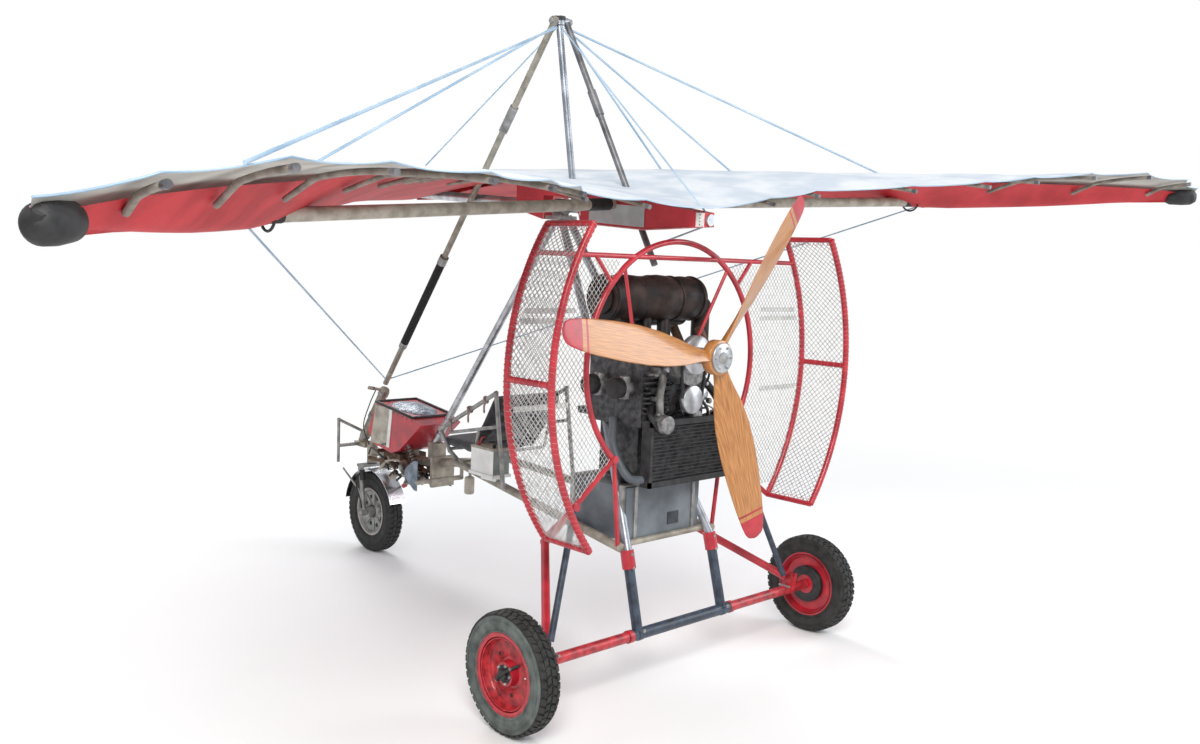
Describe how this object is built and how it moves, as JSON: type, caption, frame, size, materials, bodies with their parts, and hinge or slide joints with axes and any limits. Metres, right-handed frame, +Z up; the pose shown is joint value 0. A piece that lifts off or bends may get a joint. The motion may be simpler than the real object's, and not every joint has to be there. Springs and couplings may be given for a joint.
{
  "type": "microlight aircraft",
  "caption": "A parked microlight aircraft: open carriage on wheels, a wooden pusher propeller in mesh guards, and a flexible wing hung overhead.",
  "frame": {"origin": "Ground level, in the middle of the bounding box.", "axes": "X to the aircraft's right along the span, Y forward, Z up."},
  "size_m": [5.8286, 3.8, 2.9549],
  "materials": {
    "navy_paint": "satin",
    "red_paint": "gloss",
    "red_gloss": "gloss",
    "bright_alloy": "satin",
    "tan_alloy": "satin",
    "film": "crinkled",
    "seat_fabric": "woven",
    "battery_case": "smooth",
    "tank_plastic": "smooth",
    "engine_alloy": "cast",
    "black_metal": "satin",
    "dark_exhaust": "matt",
    "mesh_alloy": "satin",
    "chrome_plate": "polished",
    "tyre_rubber": "matt",
    "prop_wood": "varnished",
    "red_cloth": "woven",
    "sail_cloth": "woven",
    "cable_steel": "bright"
  },
  "bodies": {
    "carriage": {"axle_beam": "navy_paint", "axle_ends": "red_paint", "lower_legs": "navy_paint", "leg_collars": "red_paint", "pylon_tubes": "bright_alloy", "hang_bracket": "bright_alloy", "front_strut": "bright_alloy", "drag_struts": "red_paint", "side_struts": "navy_paint", "lower_rails": "red_paint", "nose_beam": "tan_alloy", "steering_head": "tan_alloy", "nose_post": "tan_alloy", "foot_frame": "bright_alloy", "pod": "red_gloss", "pod_cover": "film", "seat": "seat_fabric", "seat_frame": "bright_alloy", "battery": "battery_case", "tank": "tank_plastic", "tank_cradle": "bright_alloy", "engine": "engine_alloy", "gearbox": "engine_alloy", "radiator": "black_metal", "silencer": "dark_exhaust", "hoop": "red_paint", "left_guard": "red_paint", "right_guard": "red_paint", "left_guard_mesh": "mesh_alloy", "right_guard_mesh": "mesh_alloy", "inner_mesh": "mesh_alloy"},
    "nose_fork_body": {"nose_fork": "bright_alloy", "nose_mudguard": "chrome_plate"},
    "nose_wheel": {"nose_tyre": "tyre_rubber", "nose_rim": "bright_alloy"},
    "left_wheel": {"left_tyre": "tyre_rubber", "left_rim": "red_gloss"},
    "right_wheel": {"right_tyre": "tyre_rubber", "right_rim": "red_gloss"},
    "propeller_body": {"propeller": "prop_wood"},
    "wing": {"keel": "bright_alloy", "crossbars": "tan_alloy", "kingpost": "bright_alloy", "control_column": "tan_alloy", "rear_post": "tan_alloy", "keel_pocket": "red_cloth", "left_sail": "sail_cloth", "right_sail": "sail_cloth", "stays": "cable_steel"}
  },
  "joints": [
    {"name": "wing_roll", "type": "hinge", "parent": "carriage", "child": "wing", "pos_m": [0, 0.03, 2.068], "axis": [-0.0053, 0.9976, 0.0696], "range_deg": [0, 8.7]},
    {"name": "nose_steering", "type": "hinge", "parent": "carriage", "child": "nose_fork_body", "pos_m": [0, 1.686, 0.6], "axis": [0, 0, 1], "range_deg": [-25, 25]},
    {"name": "nose_wheel_spin", "type": "hinge", "parent": "nose_fork_body", "child": "nose_wheel", "pos_m": [0, 1.641, 0.244], "axis": [1, 0, 0], "continuous": true},
    {"name": "left_wheel_spin", "type": "hinge", "parent": "carriage", "child": "left_wheel", "pos_m": [-0.9665, -0.873, 0.24], "axis": [1, 0, 0], "continuous": true},
    {"name": "right_wheel_spin", "type": "hinge", "parent": "carriage", "child": "right_wheel", "pos_m": [0.9665, -0.873, 0.24], "axis": [1, 0, 0], "continuous": true},
    {"name": "propeller_spin", "type": "hinge", "parent": "carriage", "child": "propeller_body", "pos_m": [0, -1.003, 1.425], "axis": [0, 1, 0], "continuous": true}
  ]
}
